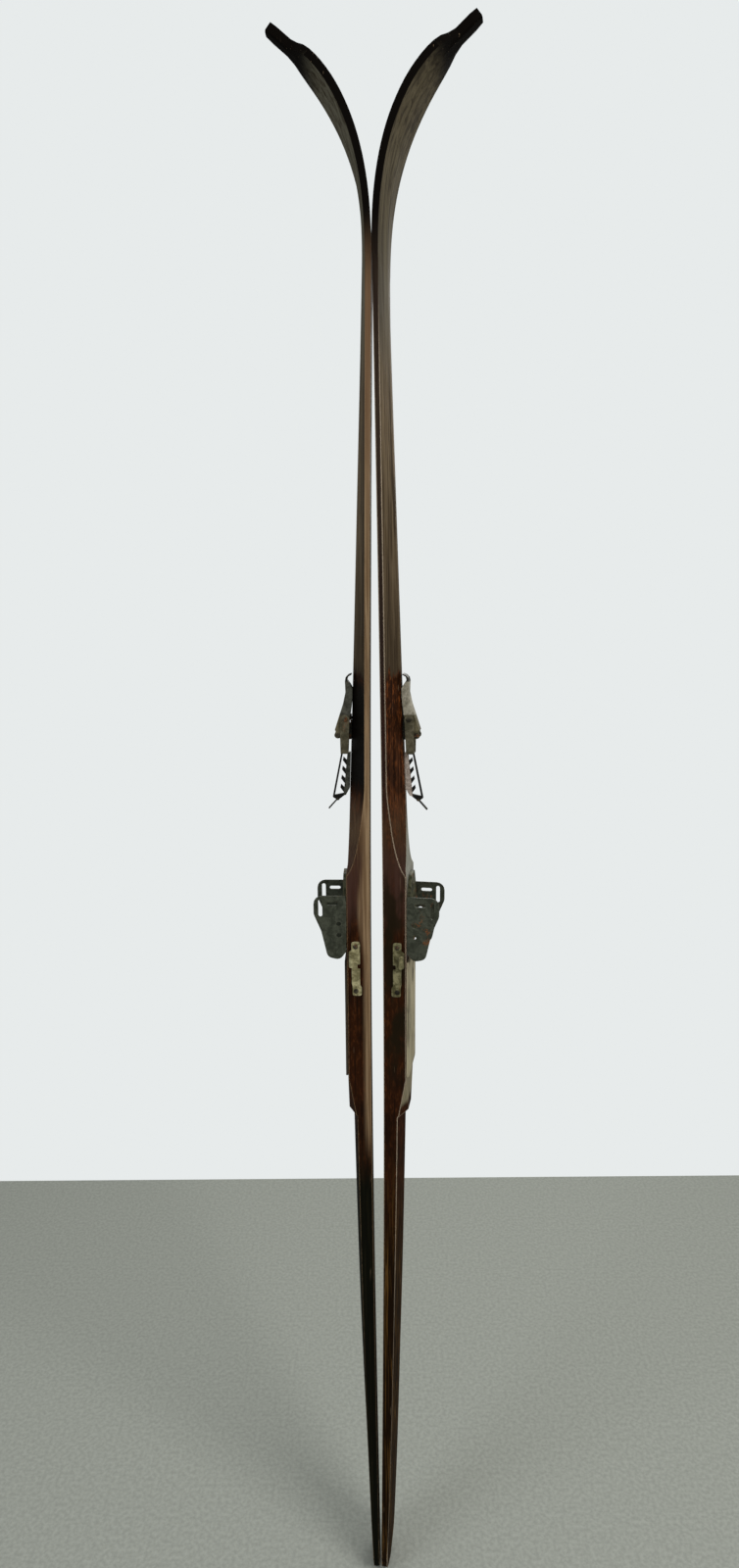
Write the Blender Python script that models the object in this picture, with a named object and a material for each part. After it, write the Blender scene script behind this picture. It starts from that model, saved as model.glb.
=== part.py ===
"""A pair of ridge-top wooden skis with front-throw cable bindings, stood on their tails base to base.

World frame: +Z up along the skis, +X to the right, origin on the floor midway between the two tails.
Each ski is modelled once in its own bench frame and placed twice:
    x  out of the running surface towards the boot,
    y  across the ski, positive to the skier's right,
    z  along the ski from the tail to the tip.
"""

import math

import bmesh
import bpy
from mathutils import Matrix, Vector

MM = 0.001
CLEAR = 0.3 * MM                 # gap that separate pieces keep

# ---- ski: overall --------------------------------------------------------------------------
SKI_HEIGHT = 2.10                # tail to tip, standing
SPLAY = math.radians(4.4)        # each ski is turned this far about Z, front edges together
HALF_PAIR_GAP = 3.7 * MM         # from the pair's middle plane to each ski's plane
PAIR_BACK = 1.17 * MM            # sets the pair's middle over the origin
CAMBER = 7.6 * MM                # free camber of one ski
TIP_ARC = 0.258                  # curved length of the turned-up tip
TIP_ANGLE = math.radians(51.0)   # how far the tip leans out at its end
TIP_SHARPNESS = 1.49             # how late the curve tightens
NIB_LENGTH = 35 * MM             # straight squared end beyond the curve

# ---- ski: sections ---------------------------------------------------------------------------
TAIL_ROUNDED = 0.036             # the rounded tail reaches its full width here
FLOOR_TO_HEEL = 0.778            # rear end of the foot platform
HEEL_STEP = 0.2 * MM             # the platform's blunt rear end rises within this length
PLATFORM_REAR = 0.832            # its full width begins here, going forward
PLATFORM_FRONT = 1.118           # and ends here
SWEEP_LENGTH = 0.120             # the platform sweeps down to the ridge over this length
PLATFORM_THICK = 30.8 * MM
HEEL_FLAT = 26 * MM              # width of the platform's flat at its blunt rear end
PLATFORM_CHAMFER = 1.0 * MM
CREST_WIDTH = 9 * MM             # narrow flat along the top of the ridge
GROOVE_WIDTH = 8 * MM
GROOVE_DEPTH = 1.8 * MM
GROOVE_FADE = 0.3 * MM           # its depth where it has run out
GROOVE_RUN = 0.10                # it runs out over this length at both ends

# (height, width): plan shape below the shovel
WIDTHS = [(0.0, 0.018), (0.003, 0.036), (0.010, 0.055), (0.020, 0.066), (0.036, 0.0725),
          (0.35, 0.0745), (0.80, 0.0716), (1.12, 0.0716), (1.40, 0.0785), (1.75, 0.0875)]
# (distance back from the tip's end, width): shovel, shoulders and squared nib
TIP_WIDTHS = [(0.0, 0.0155), (0.003, 0.0195), (0.034, 0.0205), (0.040, 0.0330), (0.054, 0.0570),
              (0.080, 0.0755), (0.115, 0.0885), (0.168, 0.0955), (0.225, 0.0945), (0.320, 0.0890)]
# (height, thickness): vertical sidewall, behind and ahead of the platform
SIDE_BEHIND = [(0.0, 0.0085), (0.15, 0.0120), (0.45, 0.0160), (0.778, 0.0190)]
SIDE_AHEAD = [(1.118, 0.0290), (1.134, 0.0222), (1.159, 0.0157), (1.190, 0.0110), (1.238, 0.0067),
              (1.40, 0.0065), (1.80, 0.0070), (1.95, 0.0085), (2.10, 0.0095)]
# (height, thickness): crest of the ridge
CREST_BEHIND = [(0.0, 0.0090), (0.15, 0.0135), (0.45, 0.0205), (0.778, 0.0250)]
CREST_AHEAD = [(1.118, 0.0296), (1.15, 0.0283), (1.18, 0.0273), (1.238, 0.0257), (1.40, 0.0212), (1.60, 0.0167),
               (1.80, 0.0126), (1.95, 0.0108), (2.10, 0.0105)]

# ---- foot pad and toe iron, measured from the platform's top -----------------------------------
PAD_REAR = 0.836
PAD_FRONT = 1.0005
PAD_HALF_WIDTH = 34.5 * MM
PAD_THICK = 2.7 * MM
TOE_PLATE_THICK = 4.0 * MM
TOE_PLATE_REAR = 1.016
TOE_PLATE_SHOULDER = 1.090
TOE_PLATE_FRONT = 1.115
TOE_PLATE_HALF_WIDTH = 29.0 * MM
TOE_PLATE_TONGUE = 15 * MM       # half width of the tongue's straight front
TOE_PLATE_SCREW = 1.100
EAR_FRONT = 1.0915               # front edge of both toe ears
EAR_SHEET = 1.8 * MM
BEND = 1.0 * MM                  # outside of the bend between upright and foot
EAR_OUTER_FACE = 35.6 * MM       # from the ski's middle to the outside of an ear
EAR_FOOT_INNER = 6 * MM          # the foot's inner end, from the middle
EAR_FOOT = (7 * MM, 64 * MM)     # the foot's ends, back from the ears' front edge
EAR_TOP = 42.6 * MM
STRAP_SLOT_OUT = EAR_TOP - 8.8 * MM
TOP_SLOT_OUT = EAR_TOP - 24.4 * MM
EAR_SLIDE_IN = 4 * MM            # width adjustment, towards the middle
EAR_SLIDE_OUT = 10 * MM          # and away from it
CLAMP_ACROSS = 23 * MM           # clamp screws, from the middle
CLAMP_BACK = (20 * MM, 46 * MM)  # clamp screws, back from the ears' front edge

# ---- cable guides on the sidewalls ---------------------------------------------------------
GUIDE_MIDDLE = 0.9915
GUIDE_SHEET = 1.8 * MM
GUIDE_ABOVE_BASE = 19.0 * MM
GUIDE_SCREW_SPAN = 62 * MM
HOOK_WING = 9.0 * MM             # how far the hook's wing stands out past the screws
HOOK_ALONG = (4.5 * MM, 22.5 * MM)
HOOK_RADIUS = 3.1 * MM           # inside radius, round the cable

# ---- front-throw lever unit: (along, high) from the lever's fixed pivot and the ridge seat --------
LEVER_PIVOT_HEIGHT = 1.2984      # along the ski
LEVER_SEAT_AT = 1.305            # where the seat touches the ridge
SEAT_DEPTH = 0.3 * MM
PIVOT_HIGH = 18.0 * MM
RACK_PIN = (20.6 * MM, 8.6 * MM)
CLIP_PIN = (-84.7 * MM, 19.6 * MM)
PIVOT_PIN_RADIUS = 2.2 * MM
RACK_PIN_RADIUS = 2.0 * MM
CLIP_PIN_RADIUS = 0.9 * MM
PIN_HEAD = 3.4 * MM
CLIP_PIN_HEAD = 1.7 * MM
BRACKET_SCREWS = {"rear": 12.5 * MM, "front": 21.5 * MM}
BRACKET_HALF = 6.5 * MM
LEVER_HALF = 8.7 * MM
RACK_HALF = 11.2 * MM
RAIL_HALF = 4.0 * MM             # the ladder's inner rail
LADDER_HALF = 1.4 * MM           # its teeth and outer rod
CLIP_HALF = 3.4 * MM
SHEET = 1.5 * MM
TOOTH_COUNT = 4
TOOTH_PITCH = 12 * MM
FIRST_TOOTH = -35.9 * MM
TOOTH_REACH = (4.4 * MM, 4.2 * MM)
TOOTH_THICK = 4.5 * MM
TOOTH_TIP = 4.7 * MM

SIDES = {"left": -1, "right": 1}
ROUND = 20                       # facets on pins and eyes


# ---- small helpers ---------------------------------------------------------------------------

def clear_scene():
    """Remove every object, so that the model starts empty."""
    for thing in list(bpy.data.objects):
        bpy.data.objects.remove(thing, do_unlink=True)


def smooth_table(table, at):
    """Value of a (position, value) table at a position, on a curve that never overshoots."""
    if at <= table[0][0]:
        return table[0][1]
    if at >= table[-1][0]:
        return table[-1][1]
    slopes = [(b[1] - a[1]) / (b[0] - a[0]) for a, b in zip(table, table[1:])]
    tangents = [slopes[0]]
    for before, after in zip(slopes, slopes[1:]):
        level = before * after <= 0
        tangents.append(0.0 if level else 2 * before * after / (before + after))
    tangents.append(slopes[-1])
    row = max(i for i in range(len(slopes)) if table[i][0] <= at)
    start, end = table[row], table[row + 1]
    span = end[0] - start[0]
    t = (at - start[0]) / span
    return ((2 * t**3 - 3 * t**2 + 1) * start[1] + (t**3 - 2 * t**2 + t) * span * tangents[row]
            + (3 * t**2 - 2 * t**3) * end[1] + (t**3 - t**2) * span * tangents[row + 1])


def arc(centre, radius, start, end, steps):
    """Points on an arc, angles in degrees."""
    points = []
    for i in range(steps + 1):
        angle = math.radians(start + (end - start) * i / steps)
        points.append((centre[0] + radius * math.cos(angle), centre[1] + radius * math.sin(angle)))
    return points


def fillet(corners, steps=4):
    """Outline through (a, b, radius) corners, each rounded to its radius."""
    points = []
    count = len(corners)
    for i, (a, b, radius) in enumerate(corners):
        here = Vector((a, b))
        before = (Vector(corners[i - 1][:2]) - here).normalized()
        after = (Vector(corners[(i + 1) % count][:2]) - here).normalized()
        if radius == 0:
            points.append((a, b))
            continue
        half = before.angle(after) / 2
        middle = here + (before + after).normalized() * (radius / math.sin(half))
        first = here + before * (radius / math.tan(half)) - middle
        last = here + after * (radius / math.tan(half)) - middle
        sweep = first.angle_signed(last)
        for k in range(steps + 1):
            turned = Matrix.Rotation(-sweep * k / steps, 2) @ first
            points.append(tuple(middle + turned))
    return points


def slot_outline(middle, length, width, along_first):
    """A slot with round ends, its length along the first or the second coordinate."""
    reach = (length - width) / 2
    ends = arc((reach, 0), width / 2, -90, 90, 6) + arc((-reach, 0), width / 2, 90, 270, 6)
    if along_first:
        return [(middle[0] + a, middle[1] + b) for a, b in ends]
    return [(middle[0] - b, middle[1] + a) for a, b in ends]


def circle(middle, radius, steps=ROUND):
    """A closed circle of points."""
    return arc(middle, radius, 0, 360, steps)[:-1]


def mesh_object(name, verts, faces):
    """An object from points and faces, its normals pointing out."""
    bm = bmesh.new()
    corners = [bm.verts.new(v) for v in verts]
    for face in faces:
        bm.faces.new([corners[i] for i in face])
    bmesh.ops.remove_doubles(bm, verts=bm.verts, dist=1e-6)
    bmesh.ops.recalc_face_normals(bm, faces=bm.faces)
    mesh = bpy.data.meshes.new(name)
    bm.to_mesh(mesh)
    bm.free()
    thing = bpy.data.objects.new(name, mesh)
    bpy.context.scene.collection.objects.link(thing)
    return thing


def extrude(name, outline, axis, start, end):
    """A flat outline pushed from start to end along x, y or z.

    The outline's two coordinates are the other two axes, in x, y, z order.
    """
    def place(point, level):
        coords = list(point)
        coords.insert("xyz".index(axis), level)
        return coords

    count = len(outline)
    verts = [place(p, start) for p in outline] + [place(p, end) for p in outline]
    faces = [list(range(count)), list(range(count, 2 * count))]
    for i in range(count):
        j = (i + 1) % count
        faces.append([i, j, count + j, count + i])
    return mesh_object(name, verts, faces)


def box(name, low, high):
    """A block between two corners."""
    outline = [(low[1], low[2]), (high[1], low[2]), (high[1], high[2]), (low[1], high[2])]
    return extrude(name, outline, "x", low[0], high[0])


def lathe(name, profile, steps=ROUND):
    """A turned solid about x: profile is (x, radius) from one end to the other, both on the axis."""
    verts = []
    for x, radius in profile[1:-1]:
        for k in range(steps):
            angle = 2 * math.pi * k / steps
            verts.append((x, radius * math.cos(angle), radius * math.sin(angle)))
    rings = len(profile) - 2
    verts.append((profile[0][0], 0, 0))
    verts.append((profile[-1][0], 0, 0))
    faces = []
    for k in range(steps):
        after = (k + 1) % steps
        faces.append([rings * steps, k, after])
        last = (rings - 1) * steps
        faces.append([rings * steps + 1, last + after, last + k])
        for ring in range(rings - 1):
            low = ring * steps
            faces.append([low + k, low + after, low + steps + after, low + steps + k])
    return mesh_object(name, verts, faces)


def turn(thing, matrix):
    """Move a mesh within its object."""
    thing.data.transform(matrix)
    return thing


def combine(thing, others, operation):
    """Join, cut or intersect an object with others, and remove those."""
    for other in others:
        change = thing.modifiers.new("shape", "BOOLEAN")
        change.operation = operation
        change.solver = "EXACT"
        change.object = other
        graph = bpy.context.evaluated_depsgraph_get()
        graph.update()
        result = bpy.data.meshes.new_from_object(thing.evaluated_get(graph))
        thing.modifiers.clear()
        thing.data = result
        bpy.data.objects.remove(other, do_unlink=True)
    return thing


def joined(name, pieces):
    """Several loose solids as one mesh, for use as a single cutter."""
    bm = bmesh.new()
    for piece in pieces:
        bm.from_mesh(piece.data)
        bpy.data.objects.remove(piece, do_unlink=True)
    mesh = bpy.data.meshes.new(name)
    bm.to_mesh(mesh)
    bm.free()
    thing = bpy.data.objects.new(name, mesh)
    bpy.context.scene.collection.objects.link(thing)
    return thing


def tidy(thing):
    """Merge the specks that a cut can leave, and shade round faces smooth."""
    bm = bmesh.new()
    bm.from_mesh(thing.data)
    bmesh.ops.remove_doubles(bm, verts=bm.verts, dist=2e-6)
    bmesh.ops.dissolve_degenerate(bm, edges=bm.edges, dist=1e-6)
    bmesh.ops.triangulate(bm, faces=[f for f in bm.faces if len(f.verts) > 4])
    bm.to_mesh(thing.data)
    bm.free()
    thing.data.shade_smooth()
    thing.data.set_sharp_from_angle(angle=math.radians(28))
    return thing


def material(name, colour, roughness, metallic):
    """One Principled BSDF."""
    made = bpy.data.materials.new(name)
    made.use_nodes = True
    shader = made.node_tree.nodes["Principled BSDF"]
    shader.inputs["Base Color"].default_value = (*colour, 1.0)
    shader.inputs["Roughness"].default_value = roughness
    shader.inputs["Metallic"].default_value = metallic
    made.diffuse_color = (*colour, 1.0)
    return made


# ---- the ski's lines -------------------------------------------------------------------------

def tip_curve(steps=120):
    """Running surface beyond the contact line: (distance, rise, forward, lean) rows."""
    start_lean = -CAMBER * math.pi / SKI_HEIGHT
    length = TIP_ARC + NIB_LENGTH
    rows = []
    rise = 0.0
    forward = 0.0
    for i in range(steps + 1):
        distance = length * i / steps
        part = min(1.0, distance / TIP_ARC)
        lean = start_lean + (TIP_ANGLE - start_lean) * part**TIP_SHARPNESS
        rows.append((distance, rise, forward, lean))
        rise += math.sin(lean) * length / steps
        forward += math.cos(lean) * length / steps
    return rows


TIP_ROWS = tip_curve()
CONTACT_HEIGHT = SKI_HEIGHT - TIP_ROWS[-1][2]


def camber_at(height):
    """How far the running surface stands off the ski's contact plane."""
    return CAMBER * math.sin(math.pi * height / CONTACT_HEIGHT)


def side_thickness(height):
    """Thickness at the vertical sidewall."""
    if height <= FLOOR_TO_HEEL:
        return smooth_table(SIDE_BEHIND, height)
    full = platform_top() - PLATFORM_CHAMFER - camber_at(height)
    if height <= PLATFORM_REAR:
        return smooth_table([(FLOOR_TO_HEEL, 0.0205), (PLATFORM_REAR, full)], height)
    if height <= PLATFORM_FRONT:
        return full
    return smooth_table(SIDE_AHEAD, height)


def crest_thickness(height):
    """Thickness at the middle of the ski."""
    if height <= FLOOR_TO_HEEL:
        return smooth_table(CREST_BEHIND, height)
    if height <= PLATFORM_FRONT:
        return platform_top() - camber_at(height)
    return smooth_table(CREST_AHEAD, height)


def flat_width(height):
    """Width of the flat top: the whole platform, or the narrow crest elsewhere."""
    full = ski_width(height) - 2 * PLATFORM_CHAMFER
    if FLOOR_TO_HEEL < height <= PLATFORM_REAR:
        return smooth_table([(FLOOR_TO_HEEL, HEEL_FLAT), (PLATFORM_REAR, full)], height)
    if PLATFORM_REAR < height <= PLATFORM_FRONT:
        return full
    widening = [(PLATFORM_FRONT, ski_width(PLATFORM_FRONT) - 2 * PLATFORM_CHAMFER),
                (1.140, 0.036), (1.175, 0.016), (1.205, CREST_WIDTH)]
    if height > PLATFORM_FRONT:
        return smooth_table(widening, height)
    return CREST_WIDTH


def ski_width(height):
    """Width below the shovel."""
    return smooth_table(WIDTHS, height)


def platform_top():
    """The flat that the boot and the toe iron stand on, out from the contact plane."""
    middle = (FLOOR_TO_HEEL + PLATFORM_FRONT) / 2
    return camber_at(middle) + PLATFORM_THICK


def crest_at(height):
    """The ridge line, out from the contact plane."""
    return camber_at(height) + crest_thickness(height)


def section(width, side, crest, flat, groove):
    """One cross-section as (out, across) points, anticlockwise seen from the tip."""
    half = width / 2
    lip = GROOVE_WIDTH / 2
    crest_half = min(flat / 2, half - 0.5 * MM)
    right = [(0, lip), (0, half), (side, half), (crest, crest_half)]
    left = [(crest, -crest_half), (side, -half), (0, -half), (0, -lip)]
    return right + left + [(groove, -lip + groove / 2), (groove, lip - groove / 2)]


def straight_heights():
    """Stations along the nearly straight part of the ski."""
    tail = [TAIL_ROUNDED * (i / 8) ** 1.6 for i in range(9)]
    behind = [TAIL_ROUNDED + (FLOOR_TO_HEEL - TAIL_ROUNDED) * i / 14 for i in range(1, 15)]
    step = [FLOOR_TO_HEEL + HEEL_STEP]
    heel = [FLOOR_TO_HEEL + (PLATFORM_REAR - FLOOR_TO_HEEL) * i / 6 for i in range(1, 7)]
    along = [PLATFORM_REAR + (PLATFORM_FRONT - PLATFORM_REAR) * i / 6 for i in range(1, 7)]
    sweep = [PLATFORM_FRONT + SWEEP_LENGTH * i / 15 for i in range(1, 16)]
    ahead = [sweep[-1] + (CONTACT_HEIGHT - sweep[-1]) * i / 13 for i in range(1, 14)]
    return tail + behind + step + heel + along + sweep + ahead


def ski_sections():
    """Every cross-section of the ski as bench-frame points."""
    rings = []
    for height in straight_heights():
        to_end = min(height, CONTACT_HEIGHT - height)
        fade = min(1.0, max(0.0, to_end / GROOVE_RUN))
        groove = GROOVE_FADE + (GROOVE_DEPTH - GROOVE_FADE) * fade
        ring = section(ski_width(height), side_thickness(height), crest_thickness(height),
                       flat_width(height), groove)
        rings.append([(camber_at(height) + out, across, height) for out, across in ring])
    length = TIP_ROWS[-1][0]
    for distance, rise, forward, lean in TIP_ROWS[4::4]:
        height = CONTACT_HEIGHT + forward
        back = length - distance
        width = smooth_table(TIP_WIDTHS, back)
        flat = min(CREST_WIDTH + 0.010 * distance / length, 0.6 * width)
        ring = section(width, smooth_table(SIDE_AHEAD, height), smooth_table(CREST_AHEAD, height),
                       flat, GROOVE_FADE)
        rings.append([(rise + out * math.cos(lean), across, height - out * math.sin(lean))
                      for out, across in ring])
    return rings


def screw_bore(out, across, height, axis, radius, depth):
    """A round cutter that leaves room for a screw, from a surface point inwards."""
    bore = lathe("bore", [(-depth, 0), (-depth, radius), (3 * MM, radius), (3 * MM, 0)], 12)
    if axis == "across":
        towards = math.copysign(1, across)
        turn(bore, Matrix.Rotation(towards * math.pi / 2, 4, "Z"))
    return turn(bore, Matrix.Translation((out, across, height)))


def make_ski():
    """The laminated hickory board, with its platform, ridge, groove, screw holes and lever seat."""
    rings = ski_sections()
    size = len(rings[0])
    verts = [point for ring in rings for point in ring]
    faces = [list(range(size)), list(range(len(verts) - size, len(verts)))]
    for low in range(0, len(verts) - size, size):
        for i in range(size):
            j = (i + 1) % size
            faces.append([low + i, low + j, low + size + j, low + size + i])
    board = mesh_object("ski", verts, faces)
    cutters = []
    for out, across, height, axis, radius, depth in screw_places():
        cutters.append(screw_bore(out, across, height, axis, radius + CLEAR, depth + CLEAR))
    seat = box("seat", (seat_out(), -0.02, LEVER_PIVOT_HEIGHT - 7 * MM),
               (seat_out() + 0.02, 0.02, LEVER_PIVOT_HEIGHT + 30 * MM))
    combine(board, [joined("bores", cutters), seat], "DIFFERENCE")
    return tidy(board)


# ---- screws ----------------------------------------------------------------------------------

CLAMP = {"head": 4.8 * MM, "height": 2.4 * MM, "shank": 2.2 * MM, "length": 21 * MM}
WOOD = {"head": 3.3 * MM, "height": 1.3 * MM, "shank": 1.7 * MM, "length": 13 * MM}
SEAT_SCREW = {"head": 3.0 * MM, "height": 1.6 * MM, "shank": 1.7 * MM, "length": 13 * MM}


def make_screw(name, kind):
    """A slotted round-head screw along x, its head's underside at x = 0, pointing to -x."""
    head, height, shank, length = kind["head"], kind["height"], kind["shank"], kind["length"]
    dome = [(height * math.sin(a), head * math.cos(a)) for a in (0.35, 0.75, 1.15)]
    profile = [(-length, 0), (-length + 0.5 * MM, 0.35 * shank), (-length + 4 * MM, shank),
               (0, shank), (0, head)]
    profile += dome + [(height, 0)]
    screw = lathe(name, profile, 16)
    slot = box("slot", (height - 0.75 * MM, -0.45 * MM, -head), (height + MM, 0.45 * MM, head))
    turn(slot, Matrix.Rotation(0.5, 4, "X"))
    return tidy(combine(screw, [slot], "DIFFERENCE"))


def clamp_seat():
    """Underside of the clamp screws' heads."""
    return platform_top() + TOE_PLATE_THICK + 2 * CLEAR


def guide_face():
    """Outer face of the platform's sidewall at the cable guides."""
    return ski_width(GUIDE_MIDDLE) / 2


def seat_out():
    """The planed seat on the ridge, under the lever bracket."""
    return crest_at(LEVER_SEAT_AT) - SEAT_DEPTH


def clamp_places():
    """Clamp screws: (node suffix, out, across, height)."""
    places = []
    for side, sign in SIDES.items():
        for where, back in zip(("front", "rear"), CLAMP_BACK):
            name = f"toe_clamp_screw_{side}_{where}"
            places.append((name, clamp_seat(), sign * CLAMP_ACROSS, EAR_FRONT - back))
    return places


def guide_screw_places():
    """Cable guide screws: (node suffix, out, across, height)."""
    places = []
    out = camber_at(GUIDE_MIDDLE) + GUIDE_ABOVE_BASE
    across = guide_face() + GUIDE_SHEET + 2 * CLEAR
    for side, sign in SIDES.items():
        for where, way in (("upper", 1), ("lower", -1)):
            name = f"cable_guide_screw_{side}_{where}"
            height = GUIDE_MIDDLE + way * GUIDE_SCREW_SPAN / 2
            places.append((name, out, sign * across, height))
    return places


def top_screw_places():
    """The toe plate's front screw and the bracket's two, all driven into the top of the ski."""
    bracket = seat_out() + SHEET + 2 * CLEAR
    plate = platform_top() + TOE_PLATE_THICK + 2 * CLEAR
    places = [("toe_plate_screw", plate, 0.0, TOE_PLATE_SCREW, WOOD)]
    for where, along in BRACKET_SCREWS.items():
        places.append((f"bracket_screw_{where}", bracket, 0.0, LEVER_PIVOT_HEIGHT + along, SEAT_SCREW))
    return places


def screw_places():
    """Every screw bore in the ski: (out, across, height, axis, radius, depth)."""
    bores = []
    for _, out, across, height in clamp_places():
        bores.append((out, across, height, "out", CLAMP["shank"], CLAMP["length"]))
    for _, out, across, height in guide_screw_places():
        bores.append((out, across, height, "across", WOOD["shank"], WOOD["length"]))
    for _, out, across, height, kind in top_screw_places():
        bores.append((out, across, height, "out", kind["shank"], kind["length"]))
    return bores


# ---- foot pad and toe iron ---------------------------------------------------------------------

def make_foot_pad():
    """The thin pad under the boot, behind the toe iron."""
    low = platform_top() + CLEAR
    outline = fillet([(-PAD_HALF_WIDTH, PAD_REAR, 3 * MM), (PAD_HALF_WIDTH, PAD_REAR, 3 * MM),
                      (PAD_HALF_WIDTH, PAD_FRONT, 2 * MM), (-PAD_HALF_WIDTH, PAD_FRONT, 2 * MM)])
    return tidy(extrude("foot_pad", outline, "x", low, low + PAD_THICK))


def make_toe_plate():
    """The base of the toe iron: a rounded tongue towards the tip, and a bridge over the ears' feet."""
    low = platform_top() + CLEAR
    half = TOE_PLATE_HALF_WIDTH
    tongue = TOE_PLATE_TONGUE
    outline = fillet([(-half, TOE_PLATE_REAR, 2 * MM), (half, TOE_PLATE_REAR, 2 * MM),
                      (half, TOE_PLATE_SHOULDER, 9 * MM), (tongue, TOE_PLATE_FRONT, 10 * MM),
                      (-tongue, TOE_PLATE_FRONT, 10 * MM), (-half, TOE_PLATE_SHOULDER, 9 * MM)])
    plate = extrude("toe_plate", outline, "x", low, low + TOE_PLATE_THICK)
    tunnel_low = EAR_FRONT - EAR_FOOT[1] - MM
    tunnel_high = EAR_FRONT - EAR_FOOT[0] + MM
    tunnel = box("tunnel", (low - MM, -0.05, tunnel_low), (low + EAR_SHEET + CLEAR, 0.05, tunnel_high))
    combine(plate, [tunnel], "DIFFERENCE")
    holes = []
    for _, _, across, height in clamp_places():
        hole = circle((across, height), CLAMP["shank"] + CLEAR, 12)
        holes.append(extrude("hole", hole, "x", low - MM, low + 7 * MM))
    _, _, across, height, kind = top_screw_places()[0]
    hole = circle((across, height), kind["shank"] + CLEAR, 12)
    holes.append(extrude("hole", hole, "x", low - MM, low + 7 * MM))
    return tidy(combine(plate, [joined("holes", holes)], "DIFFERENCE"))


def ear_outline(low):
    """Side view of a toe ear as (out, height) points, tall in front and tapering to the heel."""
    top = platform_top()
    corners = [(low - top, 0, 0), (EAR_TOP, 0, 11 * MM), (EAR_TOP, 25 * MM, 12 * MM),
               (33 * MM, 48 * MM, 20 * MM), (25 * MM, 84 * MM, 9 * MM),
               (9 * MM, 88 * MM, 9 * MM), (low - top, 77 * MM, 3 * MM)]
    rounded = fillet(corners)
    return [(top + out, EAR_FRONT - back) for out, back in rounded]


def ear_windows():
    """Slots and holes through an ear's upright: outlines in (out, height)."""
    top = platform_top()
    strap_slot = slot_outline((top + STRAP_SLOT_OUT, EAR_FRONT - 16.6 * MM), 23.5 * MM, 5.2 * MM, False)
    front_slot = slot_outline((top + TOP_SLOT_OUT, EAR_FRONT - 10.7 * MM), 15 * MM, 4.6 * MM, True)
    holes = [circle((top + 10 * MM, EAR_FRONT - back), 3.3 * MM, 16) for back in (38.5 * MM, 54 * MM)]
    return [strap_slot, front_slot] + holes


def make_toe_ear(side, sign):
    """One bent steel ear: an upright against the boot's welt and a slotted foot under the clamps."""
    low = platform_top() + CLEAR
    outer = sign * EAR_OUTER_FACE
    inner = sign * (EAR_OUTER_FACE - EAR_SHEET)
    upright = extrude(f"toe_ear_{side}", ear_outline(low + BEND / 2), "y", outer, inner)
    near_edge = EAR_FOOT_INNER
    far_edge = EAR_OUTER_FACE - BEND / 2
    rear = EAR_FRONT - EAR_FOOT[1]
    front = EAR_FRONT - EAR_FOOT[0]
    foot = fillet([(sign * far_edge, rear, 0), (sign * far_edge, front, 0),
                   (sign * near_edge, front, 4 * MM), (sign * near_edge, rear, 4 * MM)])
    foot_plate = extrude("foot", foot, "x", low, low + EAR_SHEET)
    combine(upright, [foot_plate], "UNION")
    cutters = [extrude("window", w, "y", outer + sign * MM, inner - sign * MM) for w in ear_windows()]
    length = EAR_SLIDE_IN + EAR_SLIDE_OUT + 2 * (CLAMP["shank"] + CLEAR)
    shift = (EAR_SLIDE_OUT - EAR_SLIDE_IN) / 2
    for back in CLAMP_BACK:
        middle = (sign * (CLAMP_ACROSS - shift), EAR_FRONT - back)
        slot = slot_outline(middle, length, 2 * (CLAMP["shank"] + CLEAR), True)
        cutters.append(extrude("slot", slot, "x", low - MM, low + 4 * MM))
    return tidy(combine(upright, [joined("windows", cutters)], "DIFFERENCE"))


# ---- cable guides ------------------------------------------------------------------------------

def guide_outline(out):
    """Side plate outline as (out, height): upper seat, hook wing, notch, neck and lower seat."""
    corners = [(-5.5, 37.5, 2.5), (-5.5, 6.5, 1), (-2, 6.5, 0.8), (-2, 0.5, 0.8), (-5.5, 0.5, 1),
               (-5.5, -23, 3), (-7.5, -26, 2), (-7.5, -37.5, 2.5), (4.5, -37.5, 2.5), (4.5, -24, 3),
               (5.5, -20, 3), (5.5, 3, 1), (HOOK_WING / MM, 3, 2), (HOOK_WING / MM, 24, 2),
               (5.5, 26, 1.5), (5.5, 37.5, 2.5)]
    rounded = fillet([(a * MM, b * MM, r * MM) for a, b, r in corners], 3)
    return [(out + a, GUIDE_MIDDLE + b) for a, b in rounded]


def hook_centre():
    """Middle of the hook's curl, as (out, distance from the ski's middle)."""
    edge = camber_at(GUIDE_MIDDLE) + GUIDE_ABOVE_BASE + HOOK_WING
    return (edge - HOOK_RADIUS - GUIDE_SHEET, guide_face() + CLEAR + GUIDE_SHEET + HOOK_RADIUS - 0.2 * MM)


def make_cable_guide(side, sign):
    """A screwed side plate whose wing curls over the cable."""
    out = camber_at(GUIDE_MIDDLE) + GUIDE_ABOVE_BASE
    face = guide_face() + CLEAR
    outer = face + GUIDE_SHEET
    plate = extrude(f"cable_guide_{side}", guide_outline(out), "y", sign * face, sign * outer)
    reach = HOOK_RADIUS + GUIDE_SHEET
    centre = hook_centre()
    curl = arc(centre, reach, -90, 90, 8) + arc(centre, HOOK_RADIUS, 90, -90, 8)
    lip = [(a, sign * b) for a, b in curl]
    low, high = (GUIDE_MIDDLE + along for along in HOOK_ALONG)
    combine(plate, [extrude("hook", lip, "z", low, high)], "UNION")
    holes = []
    for name, hole_out, _, height in guide_screw_places():
        if side in name:
            hole = circle((hole_out, height), WOOD["shank"] + CLEAR, 12)
            holes.append(extrude("hole", hole, "y", sign * (face - MM), sign * (outer + MM)))
    return tidy(combine(plate, [joined("holes", holes)], "DIFFERENCE"))


# ---- front-throw lever unit ----------------------------------------------------------------------

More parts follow.
